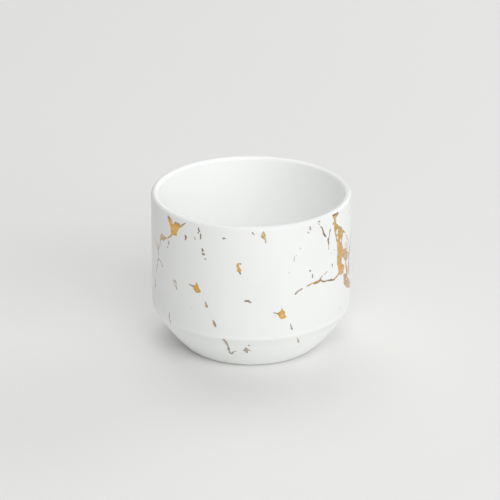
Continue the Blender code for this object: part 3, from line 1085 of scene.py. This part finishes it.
class MUG_OT_cut_print(bpy.types.Operator):
    """Cut the gold print into the outer wall"""

    bl_idname = "mug.cut_print"
    bl_label = "Cut gold print"

    def execute(self, context):
        sizes = context.scene.mug_sizes
        how = context.scene.mug_print
        mug = bpy.data.objects[MUG]
        sheet = WallSheet(sizes)
        gold, bare = print_shapes(sheet, how)
        spots, faces, owners = cut_sheet(sheet, gold, bare, sizes, how)
        depth = gold_depth(spots, faces, owners, how.rim / MM)

        # Knife Project would cut these edges by hand, but it needs a window
        mesh = bpy.data.meshes.new("printed_wall")
        mesh.from_pydata([sheet.round(spot) for spot in spots], [], faces)
        brightness = mesh.attributes.new("gold_brightness", "FLOAT", "POINT").data
        cover = mesh.attributes.new("gold_cover", "FLOAT", "POINT").data
        mesh.attributes.new("gold_depth", "FLOAT", "POINT").data.foreach_set("value", depth)
        top = [-1] * len(spots)
        for polygon, owner in zip(mesh.polygons, owners):
            if owner is None:
                continue
            polygon.material_index = GOLD
            for i in polygon.vertices:
                top[i] = max(top[i], owner)
        for i, layer in enumerate(top):
            if layer >= 0:
                brightness[i].value = gold[layer].brightness
                cover[i].value = gold[layer].cover
        mesh.materials.append(bpy.data.materials.new("outer_glaze_blank"))
        mesh.materials.append(bpy.data.materials.new("gold_blank"))
        wall = bpy.data.objects.new("printed_wall", mesh)
        context.scene.collection.objects.link(wall)
        pick(wall)
        bpy.ops.object.mode_set(mode="EDIT")
        bpy.ops.mesh.select_all(action="SELECT")
        bpy.ops.mesh.tris_convert_to_quads(
            face_threshold=math.radians(8), shape_threshold=math.radians(12), materials=True)
        bpy.ops.object.mode_set(mode="OBJECT")

        # The plain outer wall makes room for the printed one
        mug.data.materials.append(mesh.materials[0])
        mug.data.materials.append(mesh.materials[1])
        low = sheet.line[0]
        lip_radius = sheet.line[-1].x
        pick(mug)
        bpy.ops.object.mode_set(mode="EDIT")
        bpy.ops.mesh.select_mode(type="FACE")
        bpy.ops.mesh.select_all(action="DESELECT")
        bpy.ops.object.mode_set(mode="OBJECT")
        for polygon in mug.data.polygons:
            centre = polygon.center
            flat = centre.xy.length
            on_lip = centre.z > sizes.height - sizes.wall / 2 and flat > lip_radius - NEAR
            outwards = polygon.normal.xy.dot(centre.xy) > 0
            on_wall = centre.z > low.y + HAIR and outwards and flat > low.x
            polygon.select = on_lip or on_wall
        bpy.ops.object.mode_set(mode="EDIT")
        bpy.ops.mesh.delete(type="FACE")
        bpy.ops.object.mode_set(mode="OBJECT")
        wall.select_set(True)
        bpy.ops.object.join()
        bpy.ops.object.mode_set(mode="EDIT")
        bpy.ops.mesh.select_mode(type="VERT")
        bpy.ops.mesh.select_all(action="SELECT")
        bpy.ops.mesh.remove_doubles(threshold=WELD)
        bpy.ops.mesh.normals_make_consistent(inside=False)
        bpy.ops.object.mode_set(mode="OBJECT")
        shape = bmesh.new()
        shape.from_mesh(mug.data)
        open_edges = sum(not edge.is_manifold for edge in shape.edges)
        shape.free()
        if open_edges:
            raise RuntimeError(f"the printed wall leaves {open_edges} open edges")
        smooth_by_profile(mug, sizes)
        return {"FINISHED"}


class MUG_OT_finish(bpy.types.Operator):
    """Glaze the mug, gild the print and leave the foot ring bare"""

    bl_idname = "mug.finish"
    bl_label = "Glaze and gild"

    def execute(self, context):
        sizes = context.scene.mug_sizes
        colours = context.scene.mug_colours
        mug = bpy.data.objects[MUG]
        mottle = glaze_mottle()
        mesh = mug.data
        gilded = {polygon.index for polygon in mesh.polygons if polygon.material_index == GOLD}
        mesh.materials.clear()
        outside = (colours.outer_glaze, colours.outer_roughness, 0.06)
        # The inner glaze's extra whiteness is painted light
        inside = (colours.inner_glaze, colours.inner_roughness, 0.04)
        # Painted light towards the foot, on the outer glaze
        foot = (colours.painted_foot_light, colours.foot_height)
        for material in (
            glaze_material("outer_glaze", mottle, *outside, foot),
            gold_material(mottle, colours),
            glaze_material("inner_glaze", mottle, *inside),
            biscuit_material(mottle, colours.biscuit),
        ):
            mesh.materials.append(material)
        lip_radius = sizes.wall_radius - sizes.wall / 2
        for polygon in mesh.polygons:
            centre = polygon.center
            flat = centre.xy.length
            within = polygon.normal.xy.dot(centre.xy) < -1e-9 and centre.z > sizes.recess_depth * 2
            on_floor = polygon.normal.z > 0.9 and flat < lip_radius and centre.z < sizes.shoulder_height
            if polygon.index in gilded:
                polygon.material_index = GOLD
            elif centre.z < NEAR and polygon.normal.z < -0.9:
                polygon.material_index = BISCUIT
            elif (within or on_floor) and flat < lip_radius:
                polygon.material_index = INNER_GLAZE
            else:
                polygon.material_index = OUTER_GLAZE
        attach(mug, "root")
        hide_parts("mug_body")
        return {"FINISHED"}


class MUG_OT_studio(bpy.types.Operator):
    """Lay the pale floor, hang the lamps and set the camera"""

    bl_idname = "mug.studio"
    bl_label = "Set up studio"

    def execute(self, context):
        studio = context.scene.mug_studio
        deselect_all()
        bpy.ops.mesh.primitive_circle_add(vertices=96, radius=studio.floor_radius, fill_type="NGON")
        floor = bpy.context.object
        floor.name = "studio_floor"
        bpy.ops.object.mode_set(mode="EDIT")
        bpy.ops.mesh.select_all(action="SELECT")
        bpy.ops.mesh.inset(thickness=studio.floor_radius * 0.7)
        bpy.ops.object.mode_set(mode="OBJECT")
        material, tree, shader = new_material("pale_floor")
        where = add(tree, "ShaderNodeTexCoord", (-700, 0))
        clouds = add(tree, "ShaderNodeTexNoise", (-450, 0), Scale=2.5, Detail=2.0)
        join(tree, where, "Object", clouds, "Vector")
        colour = add(tree, "ShaderNodeMix", (-100, 0), data_type="RGBA")
        colour.inputs["A"].default_value = (*studio.floor_colour, 1.0)
        colour.inputs["B"].default_value = (*scaled(studio.floor_colour, 0.985), 1.0)
        join(tree, clouds, "Fac", colour, "Factor")
        join(tree, colour, "Result", shader, "Base Color")
        shader.inputs["Roughness"].default_value = 0.85
        shader.inputs["Specular IOR Level"].default_value = 0.2
        floor.data.materials.append(material)

        world = bpy.data.worlds.new("studio_surround")
        world.use_nodes = True
        background = world.node_tree.nodes["Background"]
        background.inputs["Color"].default_value = (1.0, 1.0, 1.0, 1.0)
        background.inputs["Strength"].default_value = studio.surround
        context.scene.world = world
        context.scene.view_settings.view_transform = "Standard"

        # Turn round the mug from the camera, rise above the floor, and power
        lamps = (
            ("front_lamp", 8.0, 42.0, studio.front_lamp),
            ("side_lamp", 45.0, 22.0, studio.side_lamp),
            ("rim_lamp", 135.0, 22.0, studio.rim_lamp),
            ("back_lamp", 190.0, 60.0, studio.back_lamp),
        )
        for name, turn, rise, power in lamps:
            turn = math.radians(turn)
            rise = math.radians(rise)
            level = math.cos(rise)
            towards = Vector((math.sin(turn) * level, -math.cos(turn) * level, math.sin(rise)))
            place = towards * studio.lamp_distance
            facing = (LAMP_AIM - place).to_track_quat("-Z", "Y").to_euler()
            bpy.ops.object.light_add(type="AREA", location=place, rotation=facing)
            lamp = bpy.context.object
            lamp.name = name
            lamp.data.size = studio.lamp_size
            lamp.data.energy = power

        middle = Vector((0.0, 0.0, context.scene.mug_sizes.height / 2))
        tilt = studio.camera_tilt
        place = middle + Vector((0.0, -math.cos(tilt), math.sin(tilt))) * studio.camera_distance
        target = Vector((studio.aim_aside, 0.0, studio.aim_height))
        facing = (target - place).to_track_quat("-Z", "Y").to_euler()
        bpy.ops.object.camera_add(location=place, rotation=facing)
        camera = bpy.context.object
        camera.name = "studio_camera"
        camera.data.sensor_width = 36.0
        camera.data.lens = studio.lens
        camera.data.clip_start = 0.01
        context.scene.camera = camera
        return {"FINISHED"}


class MUG_PT_panel(bpy.types.Panel):
    """Sizes, colours and steps of the mug"""

    bl_label = "Gold print mug"
    bl_idname = "MUG_PT_panel"
    bl_space_type = "VIEW_3D"
    bl_region_type = "UI"
    bl_category = "Mug"

    def draw(self, context):
        layout = self.layout
        scene = context.scene
        groups = (
            (scene.mug_sizes, (MUG_OT_turn_body,)),
            (scene.mug_print, (MUG_OT_cut_print,)),
            (scene.mug_colours, (MUG_OT_finish,)),
            (scene.mug_studio, (MUG_OT_studio,)),
        )
        for settings, operators in groups:
            box = layout.box()
            for name in settings.__annotations__:
                box.prop(settings, name)
            for operator in operators:
                box.operator(operator.bl_idname)


SETTINGS = (
    ("mug_sizes", MugSizes),
    ("mug_print", MugPrint),
    ("mug_colours", MugColours),
    ("mug_studio", MugStudio),
)
CLASSES = (MUG_OT_turn_body, MUG_OT_cut_print, MUG_OT_finish, MUG_OT_studio, MUG_PT_panel)


def register():
    for name, group in SETTINGS:
        bpy.utils.register_class(group)
        setattr(bpy.types.Scene, name, PointerProperty(type=group))
    for cls in CLASSES:
        bpy.utils.register_class(cls)


def unregister():
    for cls in reversed(CLASSES):
        bpy.utils.unregister_class(cls)
    for name, group in reversed(SETTINGS):
        delattr(bpy.types.Scene, name)
        bpy.utils.unregister_class(group)


def main():
    register()
    bpy.ops.mug.turn_body()
    bpy.ops.mug.cut_print()
    bpy.ops.mug.finish()
    bpy.ops.mug.studio()


if __name__ == "__main__":
    main()
